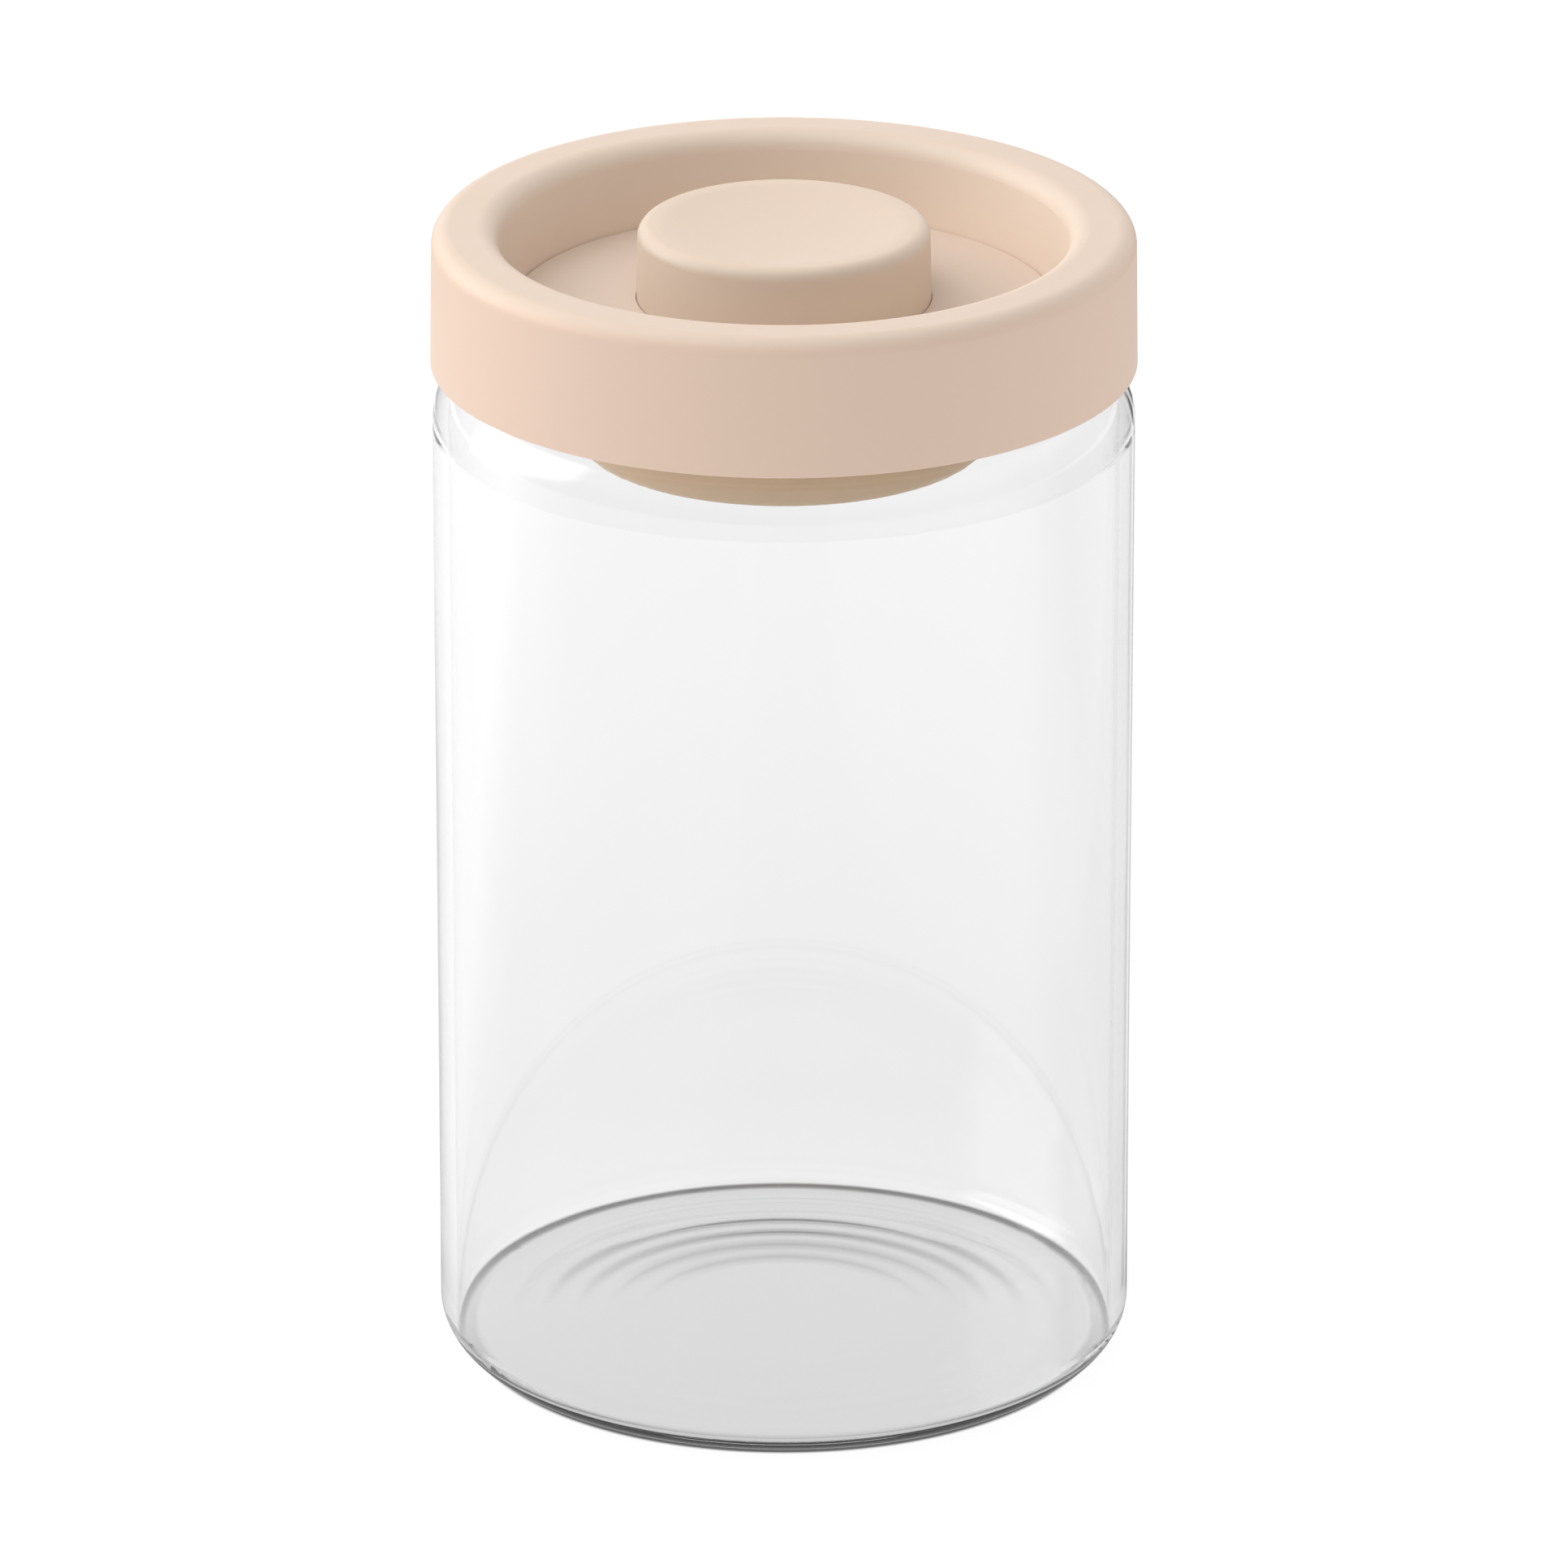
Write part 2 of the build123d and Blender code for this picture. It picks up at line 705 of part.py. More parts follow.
# Piston: grooved rim, thin web, spring tube with its ceiling, and the dogs that turn the ring
with BuildPart() as piston:
    with BuildSketch(Plane.XZ):
        with BuildLine():
            Polyline(
                (0, ceiling_end),
                (tube_radius, ceiling_end),
                (tube_radius, web_end),
                (piston_radius - piston_rim, web_end),
                (piston_radius - piston_rim, piston_end),
                (piston_radius, piston_end),
                (piston_radius, groove_end),
                (groove_bore, groove_end),
                (groove_bore, groove_end + seal_groove_height),
                (piston_radius, groove_end + seal_groove_height),
                (piston_radius, piston_top),
                (tube_radius + tube_wall, piston_top),
                (tube_radius + tube_wall, ceiling_top),
                (0, ceiling_top),
                close=True,
            )
        make_face()
    revolve(axis=Axis.Z)
    with BuildSketch(Plane.XY.offset(piston_top)):
        with PolarLocations(dog_pitch, dog_count, dog_start):
            Rectangle(dog_depth, dog_width)
    extrude(amount=dog_height)
    with BuildSketch(Plane.XY.offset(web_end - overrun)):
        with PolarLocations(knob_screw_pitch, knob_screw_count, knob_screw_start):
            Circle(screw_radius + fit_gap)
    extrude(amount=piston_web + 2 * overrun, mode=Mode.SUBTRACT)
    with BuildSketch(Plane.XY.offset(ceiling_end - overrun)):
        Circle(valve_stem_radius + fit_gap)
        with PolarLocations(port_pitch, port_count):
            Circle(port_radius)
    extrude(amount=ceiling_thickness + 2 * overrun, mode=Mode.SUBTRACT)
piston.part.label = "piston"
export_step(piston.part, "parts/piston.step")


# Piston seal: a ring in the rim's groove whose crown runs on the bore
with BuildPart() as piston_seal:
    seal_end = groove_end + seal_gap
    seal_top = groove_end + seal_groove_height - seal_gap
    with BuildSketch(Plane.XZ):
        with BuildLine():
            Polyline(
                (groove_bore, seal_end),
                (piston_radius - running_gap, seal_end),
                (bore_radius - seal_gap, (seal_end + seal_top) / 2 - seal_groove_height / 4),
                (bore_radius - seal_gap, (seal_end + seal_top) / 2 + seal_groove_height / 4),
                (piston_radius - running_gap, seal_top),
                (groove_bore, seal_top),
                close=True,
            )
        make_face()
    revolve(axis=Axis.Z)
piston_seal.part.label = "piston_seal"
export_step(piston_seal.part, "parts/piston_seal.step")


# Exhaust valve: lets air out of the chamber through the piston's ceiling
with BuildPart() as exhaust_valve:
    with BuildSketch(Plane.XZ):
        with BuildLine():
            Polyline(*umbrella_outline(ceiling_top, ceiling_thickness), close=True)
        make_face()
    revolve(axis=Axis.Z)
exhaust_valve.part.label = "exhaust_valve"
export_step(exhaust_valve.part, "parts/exhaust_valve.step")


# Knob cap: a dished cap on the piston, with bosses for its screws and notches for the air
with BuildPart() as knob_cap:
    dish_radius = knob_top_radius * knob_dish_share
    with BuildSketch(Plane.XZ):
        with BuildLine():
            TangentArc((0, knob_top - knob_dish), (dish_radius, knob_top), tangent=(1, 0))
            FilletPolyline(
                (dish_radius, knob_top),
                (knob_top_radius, knob_top),
                (knob_radius, piston_top),
                (knob_bore, piston_top),
                (knob_bore, knob_ceiling),
                (0, knob_ceiling),
                (0, knob_top - knob_dish),
                radius=[knob_edge_fillet, 0, 0, 0, 0],
            )
        make_face()
    revolve(axis=Axis.Z)
    dish_edge = knob_cap.edges().group_by(Axis.Z)[-1].sort_by(SortBy.RADIUS)[0]
    fillet(dish_edge, knob_dish_fillet)
    with BuildSketch(Plane.XY.offset(piston_top)):
        with PolarLocations(knob_screw_pitch, knob_screw_count, knob_screw_start):
            Circle(knob_boss_radius)
    extrude(amount=knob_ceiling + knob_wall / 4 - piston_top)
    with BuildSketch(Plane.XY.offset(piston_top)):
        with PolarLocations(knob_screw_pitch, knob_screw_count, knob_screw_start):
            Circle(screw_bore)
    extrude(amount=screw_length, mode=Mode.SUBTRACT)
    with BuildSketch(Plane.XY.offset(piston_top)):
        with PolarLocations(knob_radius - knob_wall / 2, notch_count):
            Rectangle(knob_wall + overrun, notch_width)
    extrude(amount=notch_height, mode=Mode.SUBTRACT)
knob_cap.part.label = "knob_cap"
export_step(knob_cap.part, "parts/knob_cap.step")


# Knob screws: three pan-head screws up through the piston's web into the knob
with BuildPart() as knob_screws:
    with BuildSketch(Plane.XY.offset(web_end - knob_screw_head)):
        with PolarLocations(knob_screw_pitch, knob_screw_count, knob_screw_start):
            Circle(knob_screw_head_radius)
    extrude(amount=knob_screw_head)
    with BuildSketch(Plane.XY.offset(web_end - knob_screw_head / 2)):
        with PolarLocations(knob_screw_pitch, knob_screw_count, knob_screw_start):
            Circle(screw_radius)
    extrude(amount=screw_length)
knob_screws.part.label = "knob_screws"
export_step(knob_screws.part, "parts/knob_screws.step")
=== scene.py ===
import json
from math import cos, radians, sin

import bpy
from mathutils import Matrix, Vector

# The looks of the vacuum seal canister: its finishes, the pale studio and the camera.
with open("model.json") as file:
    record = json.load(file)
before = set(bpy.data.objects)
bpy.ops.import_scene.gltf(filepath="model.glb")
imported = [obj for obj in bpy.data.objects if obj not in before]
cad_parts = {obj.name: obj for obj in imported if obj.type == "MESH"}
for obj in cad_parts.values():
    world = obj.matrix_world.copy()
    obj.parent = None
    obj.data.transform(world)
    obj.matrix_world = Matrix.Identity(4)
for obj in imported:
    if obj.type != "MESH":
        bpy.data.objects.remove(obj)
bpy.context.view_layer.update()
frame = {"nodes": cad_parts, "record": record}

MM = 0.001
WHITE = (1.0, 1.0, 1.0)

# Camera, in the canister's own frame: it looks down at the front
CAMERA_TILT = 21.34  # degrees below level
CAMERA_DISTANCE = 1959.3 * MM  # along its axis from the jar's foot
CAMERA_AIM_DROP = 78.69 * MM  # how far the jar's foot lies below the middle of the view
CAMERA_REACH = 100.0  # metres
SENSOR_WIDTH = 36.0
FOCAL_SHARE = 16538 / 1932  # focal length in widths of the picture

# Colours, as red, green and blue of linear light
# The plastics: radius from the canister's axis in millimetres, colour. For the lid, deck, knob and pump much
# of this colour is painted light and shade, not the plastic's own tone
# Lid: beige crest; the recess band is paler and less saturated as a painted sheen, the outer wall band is a
# painted tint for the light on the wall
LID_BEIGE_AND_PAINTED_LIGHT = ((41.0, (0.860, 0.715, 0.590)), (42.5, (0.845, 0.675, 0.550)), (49.0, (0.845, 0.675, 0.550)),
             (49.8, (0.875, 0.660, 0.525)))
# Deck: darker and less saturated than the lid, as painted shade and sheen for the light inside the recess
DECK_BEIGE_AND_PAINTED_SHADE = ((0.0, (0.740, 0.600, 0.500)), (50.0, (0.750, 0.605, 0.505)))
# Knob: lit and shaded copies of one beige, the top (19.6 mm) lighter, the sides (20.6 mm) darker and less
# saturated as painted shade
KNOB_BEIGE_AND_PAINTED_SHADE = ((19.6, (0.830, 0.660, 0.530)), (20.6, (0.765, 0.645, 0.535)))
# Pump: brightened past its own beige as painted light, for the light that reaches it through the glass
PUMP_BEIGE_AND_PAINTED_LIGHT = ((0.0, (0.960, 0.710, 0.470)), (50.0, (0.960, 0.710, 0.470)))
NATURAL = ((0.0, (0.74, 0.73, 0.69)), (50.0, (0.74, 0.73, 0.69)))
BAND_REACH = 60.0 * MM
SILICONE = (0.80, 0.79, 0.77)
FELT = (0.78, 0.78, 0.75)
STEEL = (0.58, 0.58, 0.59)
GLASS_TINT = (0.978, 0.978, 0.981)

# Textures: scales are per metre, depths in metres, a spread is a share of the colour
NOISE_LOW, NOISE_HIGH = 0.3, 0.7  # the range in which a noise mostly stays
DRIFT_SCALE, DRIFT_SPREAD = 22.0, 0.012
GRAIN_DETAIL, GRAIN_ROUGHNESS, GRAIN_STRENGTH = 3.0, 0.6, 0.35
GRAIN_SHINE = 0.04  # how far the grain moves a plastic's roughness either way
RUB_SCALE, RUB_DETAIL, RUB_ROUGHNESS = 75.0, 5.0, 0.75
RUB_SHINE = (0.04, -0.06)  # added to a plastic's roughness, from untouched to rubbed
PLASTIC_SPECULAR = 0.5
# Each plastic's roughness, the scale of its grain and the grain's depth
LID_SURFACE = (0.48, 2600.0, 0.03 * MM)
DECK_SURFACE = (0.52, 2600.0, 0.03 * MM)
KNOB_SURFACE = (0.46, 2600.0, 0.03 * MM)
PUMP_SURFACE = (0.36, 1800.0, 0.02 * MM)
INNER_SURFACE = (0.42, 1500.0, 0.02 * MM)
GLASS_IOR = 1.47
WAVE_SCALE, WAVE_DETAIL, WAVE_STRENGTH, WAVE_DEPTH = 16.0, 1.0, 0.15, 0.8 * MM
MOTTLE_SCALE, MOTTLE_SPREAD, MOTTLE_STRENGTH, MOTTLE_DEPTH = 160.0, 0.02, 0.2, 0.05 * MM
SILICONE_ROUGHNESS = (0.36, 0.46)
SILICONE_INNER_LIGHT, SILICONE_LIGHT_DEPTH = 0.25, 1.5 * MM
MARK_SCALE, MARK_DETAIL, MARK_ROUGHNESS = 900.0, 4.0, 0.7
MARK_SPREAD, MARK_STRENGTH, MARK_DEPTH = 0.08, 0.3, 0.01 * MM
STEEL_ROUGHNESS = (0.24, 0.38)
FIBRE_SCALE, FIBRE_DETAIL, FIBRE_ROUGHNESS = 2600.0, 6.0, 0.8
FIBRE_SPREAD, FIBRE_STRENGTH, FIBRE_DEPTH = 0.12, 0.8, 0.15 * MM
FELT_ROUGHNESS, FELT_SHEEN = 0.95, 0.3

# Studio
FLOOR_RADIUS = 4.0
FLOOR_SIDES = 96
FLOOR_DROP = 0.05 * MM
FLOOR_GLOW = 0.95
FLOOR_SHADE = 0.10
FLOOR_BOUNCE = 0.95
SKY_DIFFUSE = 0.44
# The floor by the distance from its middle: metres, brightness. Near the jar these carry painted shadow
# A painted contact shadow: the floor seen directly goes dark just under the jar's foot
FLOOR_PAINTED_CONTACT_SHADOW = ((0.0, 0.12), (0.0457, 0.14), (0.0464, 1.0), (0.05, 1.0))  # a share, where it is seen
# Seen through glass: painted shadow, dimmed under the jar and dark in a ring under its rounded foot
FLOOR_SEEN_WITH_PAINTED_SHADOW = ((0.0, 0.66), (0.0475, 0.66), (0.0485, 0.13), (0.0500, 0.13), (0.0515, 0.89), (0.09, 0.86),
              (0.24, 0.914), (0.40, 0.944))  # through glass
# Seen in glass and gloss: painted shade close to the jar, and dark past half a metre as a painted dim studio
FLOOR_MIRRORED_WITH_PAINTED_SHADE = ((0.0, 0.35), (0.05, 0.40), (0.07, 0.75), (0.12, 0.93), (0.47, 0.95), (0.51, 0.30),
                  (1.0, 0.30))  # in glass and gloss
# Factors on it by the distance from a line left of the middle, and from one in front of it: painted light,
# brighter to the left through glass and brighter in front in glass and gloss
ACROSS_START = -0.075
FLOOR_PAINTED_LIGHT_ACROSS = ((0.0, 1.20), (0.015, 1.08), (0.022, 1.045), (0.029, 1.02), (0.044, 1.01), (0.075, 1.0),
                (0.12, 1.005), (0.135, 0.975), (0.15, 0.92))  # through glass, left to right
ALONG_START = -0.5
FLOOR_PAINTED_LIGHT_ALONG = ((0.0, 1.40), (0.45, 1.35), (0.50, 1.0), (1.0, 1.0))  # in glass and gloss, front to back
# The surroundings through glass: height as the sine of its angle, brightness
SKY_SEEN = ((0.0, 0.45), (0.16, 0.45), (0.32, 0.92), (1.0, 0.92))
# The surroundings in glass and gloss, from the camera's side to behind the canister
SKY_START = -1.0
SKY_MIRRORED = ((0.0, 0.10), (0.9, 0.30), (1.3, 0.95), (2.0, 1.0))

# The soft box that shows as a highlight, from left to right: bearing from the front (right positive), then
# the heights where its glow starts, is full and ends, in degrees
CARD_DISTANCE = 1.5
SOFTBOX_LEFT = ((-122, -7, 0, 38), (-116, -5, 1, 38), (-105, 0, 6, 39), (-90, 7, 13, 40), (-77, 13, 20, 40),
                (-70, 16, 23, 40))
SOFTBOX_LEVEL = 2.4

# Lamps: name, bearing and height in degrees, width and height in metres, watts
LAMP_DISTANCE = 1.6
LAMP_AIM = (0, 0, 0.12)
LAMPS = (
    ("key_left", -103, 42, 1.9, 1.9, 18.8),
    ("panel_top", -20, 80, 1.0, 1.0, 4.6),
    ("fill_right", 112, 8, 0.8, 0.4, 3.4),
)


def new_material(name):
    """An empty node material with its Principled shader: (material, nodes, link function, shader)."""
    made = bpy.data.materials.new(name)
    made.use_nodes = True
    tree = made.node_tree
    return made, tree.nodes, tree.links.new, tree.nodes["Principled BSDF"]


def calculate(nodes, link, operation, first, second):
    """The result of a sum on an output and either another output or a number."""
    made = nodes.new("ShaderNodeMath")
    made.operation = operation
    link(first, made.inputs[0])
    if isinstance(second, float):
        made.inputs[1].default_value = second
    else:
        link(second, made.inputs[1])
    return made


def noise(nodes, link, place, scale, detail=2.0, roughness=0.5):
    """The height of a noise texture in object space."""
    made = nodes.new("ShaderNodeTexNoise")
    made.inputs["Scale"].default_value = scale
    made.inputs["Detail"].default_value = detail
    made.inputs["Roughness"].default_value = roughness
    link(place.outputs["Object"], made.inputs["Vector"])
    return made.outputs["Fac"]


def tint_between(nodes, link, factor, colour, spread):
    """A colour that wanders a little either side of colour as factor goes from 0 to 1."""
    mix = nodes.new("ShaderNodeMix")
    mix.data_type = "RGBA"
    low, high = mix.inputs["A"], mix.inputs["B"]
    low.default_value = [channel * (1 - spread) for channel in colour] + [1]
    high.default_value = [channel * (1 + spread) for channel in colour] + [1]
    link(factor, mix.inputs["Factor"])
    return mix.outputs["Result"]


def axis_distance(nodes, link, place):
    """The distance from the canister's axis, in metres."""
    flat = nodes.new("ShaderNodeVectorMath")
    flat.operation = "MULTIPLY"
    flat.inputs[1].default_value = (1, 1, 0)
    link(place.outputs["Object"], flat.inputs[0])
    length = nodes.new("ShaderNodeVectorMath")
    length.operation = "LENGTH"
    link(flat.outputs["Vector"], length.inputs[0])
    return length.outputs["Value"]


def band_colour(nodes, link, distance, bands):
    """A colour that changes with the distance from the axis: bands are (millimetres, colour)."""
    share = calculate(nodes, link, "DIVIDE", distance, BAND_REACH)
    ramp = nodes.new("ShaderNodeValToRGB")
    stops = ramp.color_ramp.elements
    while len(stops) < len(bands):
        stops.new(0.5)
    for stop, (radius, colour) in zip(stops, bands):
        stop.position = radius * MM / BAND_REACH
        stop.color = (*colour, 1)
    link(share.outputs[0], ramp.inputs["Fac"])
    return ramp.outputs["Color"]


def spread_value(nodes, link, factor, low, high):
    """A number from low to high over the range in which a noise mostly stays."""
    made = nodes.new("ShaderNodeMapRange")
    made.inputs["From Min"].default_value = NOISE_LOW
    made.inputs["From Max"].default_value = NOISE_HIGH
    made.inputs["To Min"].default_value = low
    made.inputs["To Max"].default_value = high
    link(factor, made.inputs["Value"])
    return made.outputs["Result"]


def grain_bump(nodes, link, shader, height, strength, depth):
    """A bump of this depth in metres from a height output."""
    made = nodes.new("ShaderNodeBump")
    made.inputs["Strength"].default_value = strength
    made.inputs["Distance"].default_value = depth
    link(height, made.inputs["Height"])
    link(made.outputs["Normal"], shader.inputs["Normal"])


def moulded_plastic(name, bands, roughness, grain_scale, grain_depth):
    """Matt moulded plastic: slow drift of colour, fine spark-eroded grain, hairline rubs from handling."""
    made, nodes, link, shader = new_material(name)
    place = nodes.new("ShaderNodeTexCoord")
    drift = noise(nodes, link, place, DRIFT_SCALE)
    grain = noise(nodes, link, place, grain_scale, GRAIN_DETAIL, GRAIN_ROUGHNESS)
    rubs = noise(nodes, link, place, RUB_SCALE, RUB_DETAIL, RUB_ROUGHNESS)
    # the bands of the lid, deck, knob and pump carry painted light and shade
    base = band_colour(nodes, link, axis_distance(nodes, link, place), bands)
    shift = tint_between(nodes, link, drift, WHITE, DRIFT_SPREAD)
    tinted = nodes.new("ShaderNodeMix")
    tinted.data_type = "RGBA"
    tinted.blend_type = "MULTIPLY"
    tinted.inputs["Factor"].default_value = 1.0
    link(base, tinted.inputs["A"])
    link(shift, tinted.inputs["B"])
    link(tinted.outputs["Result"], shader.inputs["Base Color"])
    grained = spread_value(nodes, link, grain, roughness - GRAIN_SHINE, roughness + GRAIN_SHINE)
    rubbed = spread_value(nodes, link, rubs, *RUB_SHINE)
    link(calculate(nodes, link, "ADD", grained, rubbed).outputs[0], shader.inputs["Roughness"])
    shader.inputs["Specular IOR Level"].default_value = PLASTIC_SPECULAR
    grain_bump(nodes, link, shader, grain, GRAIN_STRENGTH, grain_depth)
    return made


def clear_glass(name):
    """Blown glass: clear, very slightly grey, with the faint waviness of a blown wall."""
    made, nodes, link, shader = new_material(name)
    place = nodes.new("ShaderNodeTexCoord")
    wave = noise(nodes, link, place, WAVE_SCALE, WAVE_DETAIL)
    shader.inputs["Base Color"].default_value = (*GLASS_TINT, 1)
    shader.inputs["Roughness"].default_value = 0.0
    shader.inputs["IOR"].default_value = GLASS_IOR
    shader.inputs["Transmission Weight"].default_value = 1.0
    grain_bump(nodes, link, shader, wave, WAVE_STRENGTH, WAVE_DEPTH)
    return made


def silicone_rubber(name):
    """Milky silicone: soft sheen and a little light inside."""
    made, nodes, link, shader = new_material(name)
    place = nodes.new("ShaderNodeTexCoord")
    mottle = noise(nodes, link, place, MOTTLE_SCALE)
    link(tint_between(nodes, link, mottle, SILICONE, MOTTLE_SPREAD), shader.inputs["Base Color"])
    link(spread_value(nodes, link, mottle, *SILICONE_ROUGHNESS), shader.inputs["Roughness"])
    shader.inputs["Subsurface Weight"].default_value = SILICONE_INNER_LIGHT
    shader.inputs["Subsurface Scale"].default_value = SILICONE_LIGHT_DEPTH
    grain_bump(nodes, link, shader, mottle, MOTTLE_STRENGTH, MOTTLE_DEPTH)
    return made


def drawn_steel(name):
    """Stainless steel wire and screws with fine drawing marks."""
    made, nodes, link, shader = new_material(name)
    place = nodes.new("ShaderNodeTexCoord")
    marks = noise(nodes, link, place, MARK_SCALE, MARK_DETAIL, MARK_ROUGHNESS)
    link(tint_between(nodes, link, marks, STEEL, MARK_SPREAD), shader.inputs["Base Color"])
    link(spread_value(nodes, link, marks, *STEEL_ROUGHNESS), shader.inputs["Roughness"])
    shader.inputs["Metallic"].default_value = 1.0
    grain_bump(nodes, link, shader, marks, MARK_STRENGTH, MARK_DEPTH)
    return made


def filter_felt(name):
    """Pressed felt: rough fibres."""
    made, nodes, link, shader = new_material(name)
    place = nodes.new("ShaderNodeTexCoord")
    fibres = noise(nodes, link, place, FIBRE_SCALE, FIBRE_DETAIL, FIBRE_ROUGHNESS)
    link(tint_between(nodes, link, fibres, FELT, FIBRE_SPREAD), shader.inputs["Base Color"])
    shader.inputs["Roughness"].default_value = FELT_ROUGHNESS
    shader.inputs["Sheen Weight"].default_value = FELT_SHEEN
    grain_bump(nodes, link, shader, fibres, FIBRE_STRENGTH, FIBRE_DEPTH)
    return made


def dress_nodes():
    """Gives every CAD node its finish."""
    finishes = {
        "glass": clear_glass("glass_clear"),
        "lid_plastic": moulded_plastic("lid_plastic_matt", LID_BEIGE_AND_PAINTED_LIGHT, *LID_SURFACE),
        "deck_plastic": moulded_plastic("deck_plastic_matt", DECK_BEIGE_AND_PAINTED_SHADE, *DECK_SURFACE),
        "knob_plastic": moulded_plastic("knob_plastic_matt", KNOB_BEIGE_AND_PAINTED_SHADE, *KNOB_SURFACE),
        "pump_plastic": moulded_plastic("pump_plastic_satin", PUMP_BEIGE_AND_PAINTED_LIGHT, *PUMP_SURFACE),
        "inner_plastic": moulded_plastic("inner_plastic_natural", NATURAL, *INNER_SURFACE),
        "silicone": silicone_rubber("silicone_milky"),
        "felt": filter_felt("filter_felt_white"),
        "steel": drawn_steel("steel_drawn"),
    }
    slots = {part["node"]: part["material_slot"] for part in frame["record"]["subparts"]}
    for name, node in frame["nodes"].items():
        node.data.materials.clear()
        node.data.materials.append(finishes[slots[name]])


def seen_light(nodes, kind):
    """1 for the rays of this kind, else 0. A ray that glass bends is both a glossy and a transmission ray."""
    return nodes.new("ShaderNodeLightPath").outputs[kind]


def ramp_of(nodes, link, value, points, start=0.0):
    """A brightness curve over value, from start on: points are (distance from start, level)."""
    reach = points[-1][0]
    top = max(level for place, level in points)
    if start:
        value = calculate(nodes, link, "ADD", value, -start).outputs[0]
    scaled = calculate(nodes, link, "DIVIDE", value, reach)
    scaled.use_clamp = True
    made = nodes.new("ShaderNodeFloatCurve")
    curve = made.mapping.curves[0]
    shares = [(place / reach, level / top) for place, level in points]
    curve.points[0].location = shares[0]
    curve.points[1].location = shares[-1]
    for share in shares[1:-1]:
        curve.points.new(*share)
    for point in curve.points:
        point.handle_type = "VECTOR"
    made.mapping.update()
    link(scaled.outputs[0], made.inputs["Value"])
    return calculate(nodes, link, "MULTIPLY", made.outputs["Value"], top).outputs[0]


def choose(nodes, link, factor, low, high):
    """low where factor is 0, high where it is 1: each an output or a number."""
    made = nodes.new("ShaderNodeMix")
    link(factor, made.inputs["Factor"])
    for value, socket in ((low, made.inputs["A"]), (high, made.inputs["B"])):
        if isinstance(value, float):
            socket.default_value = value
        else:
            link(value, socket)
    return made.outputs["Result"]


def build_world():
    """A white world: full white where it is seen, plain where it lights, a dim studio in glass and gloss."""
    world = bpy.data.worlds.new("studio")
    bpy.context.scene.world = world
    world.use_nodes = True
    nodes, link = world.node_tree.nodes, world.node_tree.links.new
    back = nodes["Background"]
    back.inputs["Color"].default_value = (*WHITE, 1)
    place = nodes.new("ShaderNodeTexCoord")
    axes = nodes.new("ShaderNodeSeparateXYZ")
    link(place.outputs["Generated"], axes.inputs[0])
    height = nodes.new("ShaderNodeMath")
    height.operation = "ABSOLUTE"
    link(axes.outputs["Z"], height.inputs[0])
    through = ramp_of(nodes, link, height.outputs[0], SKY_SEEN)
    mirrored = ramp_of(nodes, link, axes.outputs["Y"], SKY_MIRRORED, SKY_START)
    level = choose(nodes, link, seen_light(nodes, "Is Glossy Ray"), SKY_DIFFUSE, mirrored)
    level = choose(nodes, link, seen_light(nodes, "Is Transmission Ray"), level, through)
    level = choose(nodes, link, seen_light(nodes, "Is Camera Ray"), level, 1.0)
    link(level, back.inputs["Strength"])


def emission(nodes, link, strength):
    """A white emission shader of this strength, a number or an output."""
    made = nodes.new("ShaderNodeEmission")
    if isinstance(strength, float):
        made.inputs["Strength"].default_value = strength
    else:
        link(strength, made.inputs["Strength"])
    return made.outputs[0]


def choose_shader(nodes, link, factor, low, high):
    """The shader low where factor is 0, and high where it is 1."""
    made = nodes.new("ShaderNodeMixShader")
    link(factor, made.inputs["Fac"])
    link(low, made.inputs[1])
    link(high, made.inputs[2])
    return made.outputs[0]


def add_shaders(nodes, link, first, second):
    """Two shaders together."""
    made = nodes.new("ShaderNodeAddShader")
    link(first, made.inputs[0])
    link(second, made.inputs[1])
    return made.outputs[0]


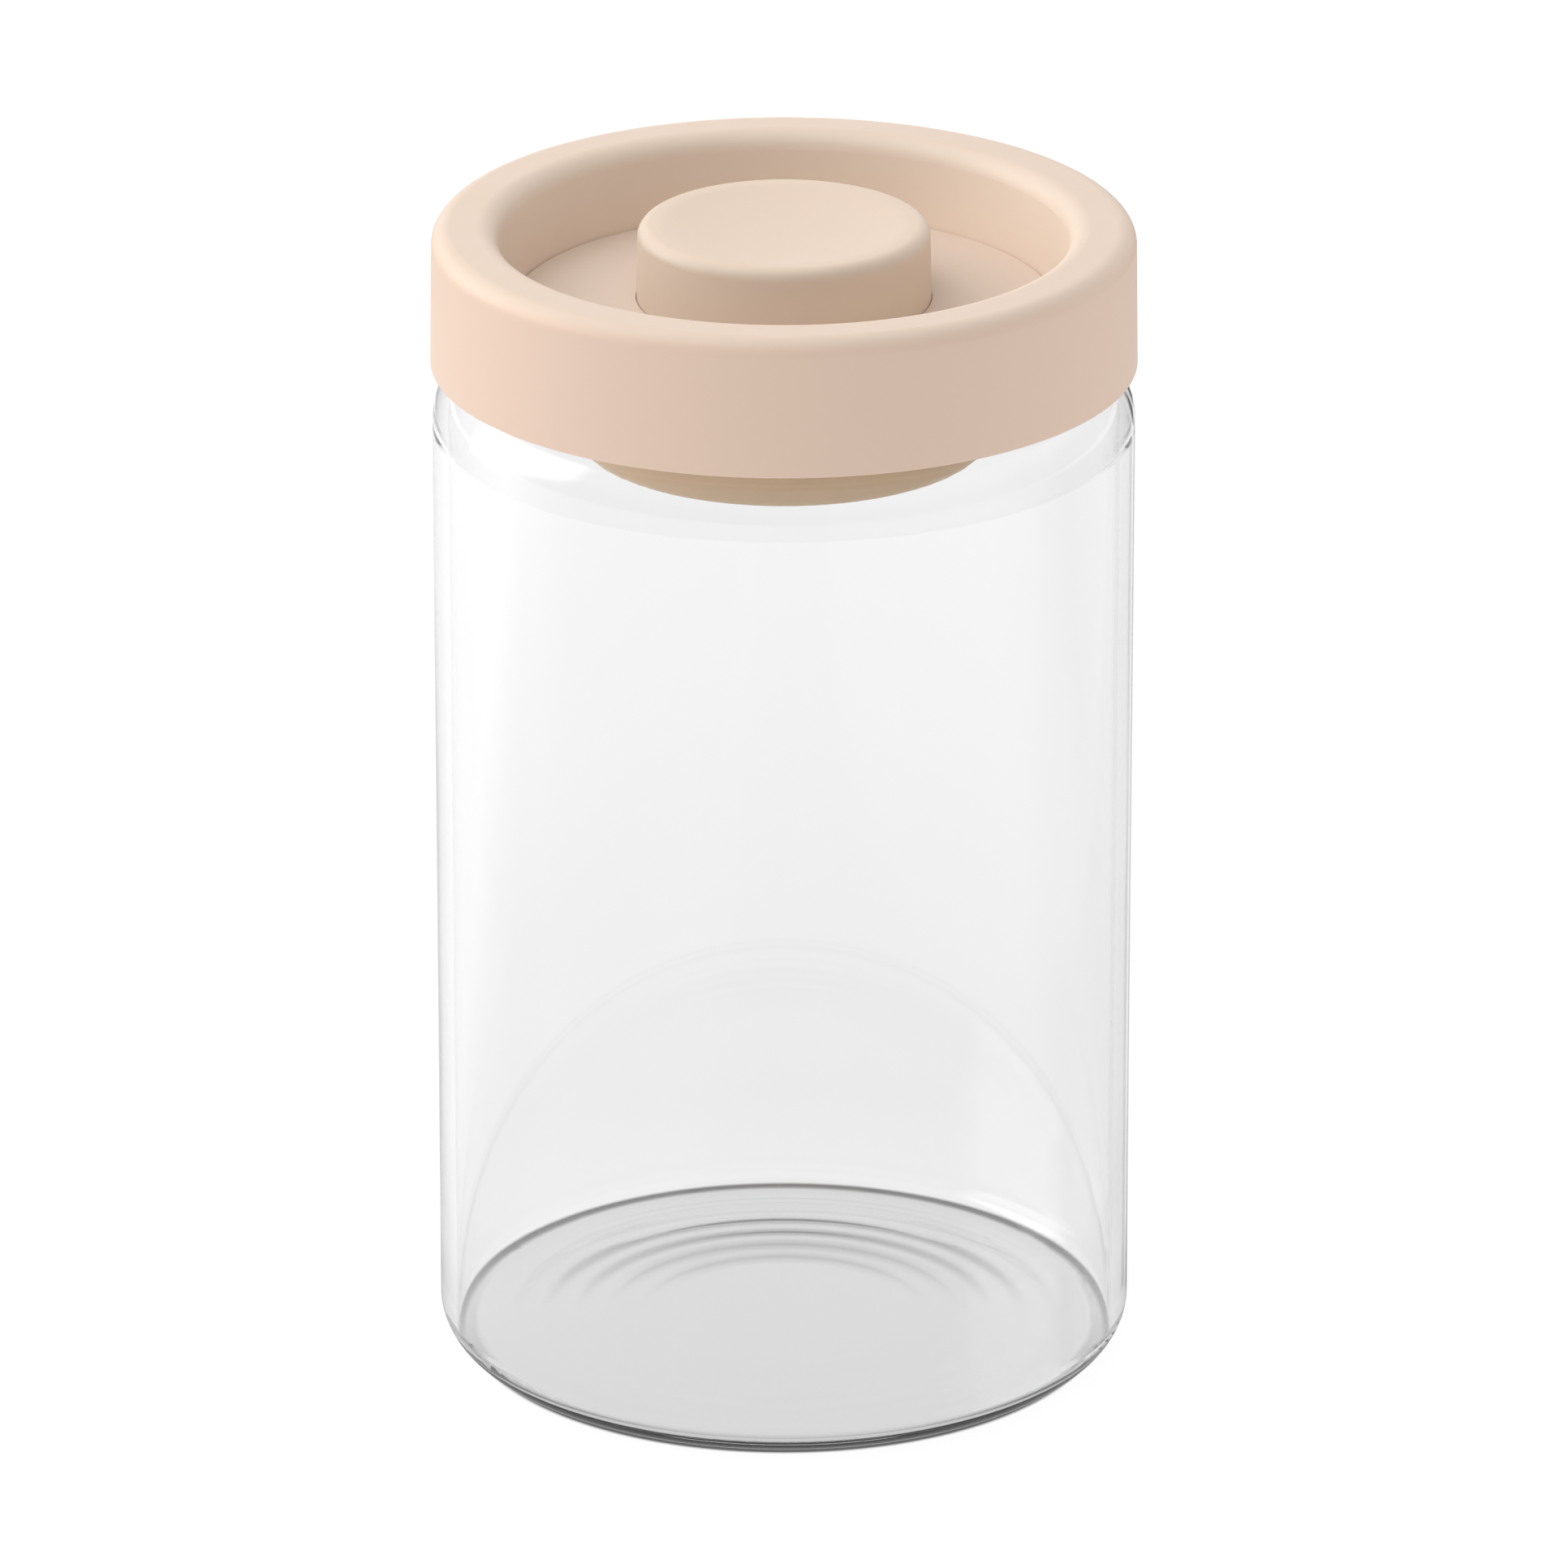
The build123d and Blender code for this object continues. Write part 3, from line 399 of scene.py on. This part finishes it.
def build_floor():
    """A pale floor that shows white and keeps a soft shadow, with a painted contact shadow under the jar's
    foot and painted light and shadow where glass and gloss show it.
    """
    bpy.ops.mesh.primitive_circle_add(vertices=FLOOR_SIDES, radius=FLOOR_RADIUS, fill_type="NGON",
                                      location=(0, 0, -FLOOR_DROP))
    floor = bpy.context.object
    floor.name = "floor"
    made, nodes, link, shader = new_material("floor_white")
    nodes.remove(shader)
    place = nodes.new("ShaderNodeTexCoord")
    reach = nodes.new("ShaderNodeVectorMath")
    reach.operation = "LENGTH"
    link(place.outputs["Object"], reach.inputs[0])
    distance = reach.outputs["Value"]
    axes = nodes.new("ShaderNodeSeparateXYZ")
    link(place.outputs["Object"], axes.inputs[0])
    # what glass and gloss show of the floor is painted: shadow near the jar, light from the left and the
    # front
    across = ramp_of(nodes, link, axes.outputs["X"], FLOOR_PAINTED_LIGHT_ACROSS, ACROSS_START)
    through = calculate(nodes, link, "MULTIPLY", ramp_of(nodes, link, distance, FLOOR_SEEN_WITH_PAINTED_SHADOW), across)
    along = ramp_of(nodes, link, axes.outputs["Y"], FLOOR_PAINTED_LIGHT_ALONG, ALONG_START)
    mirrored = calculate(nodes, link, "MULTIPLY", ramp_of(nodes, link, distance, FLOOR_MIRRORED_WITH_PAINTED_SHADE), along)
    shade = nodes.new("ShaderNodeBsdfDiffuse")
    shade.inputs["Color"].default_value = (FLOOR_SHADE, FLOOR_SHADE, FLOOR_SHADE, 1)
    lit = add_shaders(nodes, link, emission(nodes, link, FLOOR_GLOW), shade.outputs[0])
    # painted contact shadow under the jar's foot
    shown = choose_shader(nodes, link, ramp_of(nodes, link, distance, FLOOR_PAINTED_CONTACT_SHADOW),
                          emission(nodes, link, 0.0), lit)
    surface = choose_shader(nodes, link, seen_light(nodes, "Is Camera Ray"),
                            emission(nodes, link, FLOOR_BOUNCE), shown)
    surface = choose_shader(nodes, link, seen_light(nodes, "Is Glossy Ray"),
                            surface, emission(nodes, link, mirrored.outputs[0]))
    surface = choose_shader(nodes, link, seen_light(nodes, "Is Transmission Ray"),
                            surface, emission(nodes, link, through.outputs[0]))
    link(surface, nodes["Material Output"].inputs["Surface"])
    floor.data.materials.append(made)


def toward(bearing, height):
    """The direction at this bearing from the front, right positive, and this height, in degrees."""
    flat = cos(radians(height))
    return Vector((flat * sin(radians(bearing)), -flat * cos(radians(bearing)), sin(radians(height))))


def build_card(name, stations, level):
    """A panel that only shows in gloss and glass, and whose glow fades at its sides and below."""
    rows = len(stations[0]) - 1
    corners = [toward(bearing, height) * CARD_DISTANCE
               for bearing, *heights in stations for height in heights]
    faces = [(rows * i + j, rows * i + j + 1, rows * (i + 1) + j + 1, rows * (i + 1) + j)
             for i in range(len(stations) - 1) for j in range(rows - 1)]
    glow = [float(0 < i < len(stations) - 1 and j > 0) for i in range(len(stations)) for j in range(rows)]
    mesh = bpy.data.meshes.new(name)
    mesh.from_pydata(corners, [], faces)
    mesh.attributes.new("glow", "FLOAT", "POINT").data.foreach_set("value", glow)
    card = bpy.data.objects.new(name, mesh)
    bpy.context.scene.collection.objects.link(card)
    made, nodes, link, shader = new_material(name)
    nodes.remove(shader)
    clear = nodes.new("ShaderNodeBsdfTransparent").outputs[0]
    fade = nodes.new("ShaderNodeAttribute")
    fade.attribute_name = "glow"
    strength = calculate(nodes, link, "MULTIPLY", fade.outputs["Fac"], level)
    shine = add_shaders(nodes, link, clear, emission(nodes, link, strength.outputs[0]))
    surface = choose_shader(nodes, link, seen_light(nodes, "Is Glossy Ray"), clear, shine)
    link(surface, nodes["Material Output"].inputs["Surface"])
    mesh.materials.append(made)


def area_light(name, place, aim, width, height, power):
    """A soft rectangular lamp at place, aimed at a point."""
    lamp = bpy.data.lights.new(name, "AREA")
    lamp.shape = "RECTANGLE"
    lamp.size = width
    lamp.size_y = height
    lamp.energy = power
    made = bpy.data.objects.new(name, lamp)
    made.location = place
    made.rotation_euler = (Vector(aim) - Vector(place)).to_track_quat("-Z", "Y").to_euler()
    made.visible_glossy = False
    made.visible_transmission = False
    bpy.context.scene.collection.objects.link(made)


def build_lights():
    """A large key from the left, a little behind, a panel overhead and a little fill from the right."""
    for name, bearing, height, wide, tall, power in LAMPS:
        area_light(name, toward(bearing, height) * LAMP_DISTANCE, LAMP_AIM, wide, tall, power)


def build_camera():
    """The photograph's camera: a long lens, in front and above."""
    tilt = radians(CAMERA_TILT)
    data = bpy.data.cameras.new("camera")
    data.sensor_width = SENSOR_WIDTH
    data.sensor_fit = "HORIZONTAL"
    data.lens = SENSOR_WIDTH * FOCAL_SHARE
    data.clip_end = CAMERA_REACH
    camera = bpy.data.objects.new("camera", data)
    away, drop = CAMERA_DISTANCE, CAMERA_AIM_DROP
    camera.location = (0, -away * cos(tilt) + drop * sin(tilt), away * sin(tilt) + drop * cos(tilt))
    right = Vector((1, 0, 0))
    up = Vector((0, sin(tilt), cos(tilt)))
    back = Vector((0, -cos(tilt), sin(tilt)))
    camera.rotation_euler = Matrix((right, up, back)).transposed().to_euler()
    bpy.context.scene.collection.objects.link(camera)
    bpy.context.scene.camera = camera


dress_nodes()
build_world()
build_floor()
build_lights()
build_card("softbox_left", SOFTBOX_LEFT, SOFTBOX_LEVEL)
build_camera()
bpy.context.scene.view_settings.view_transform = "Standard"
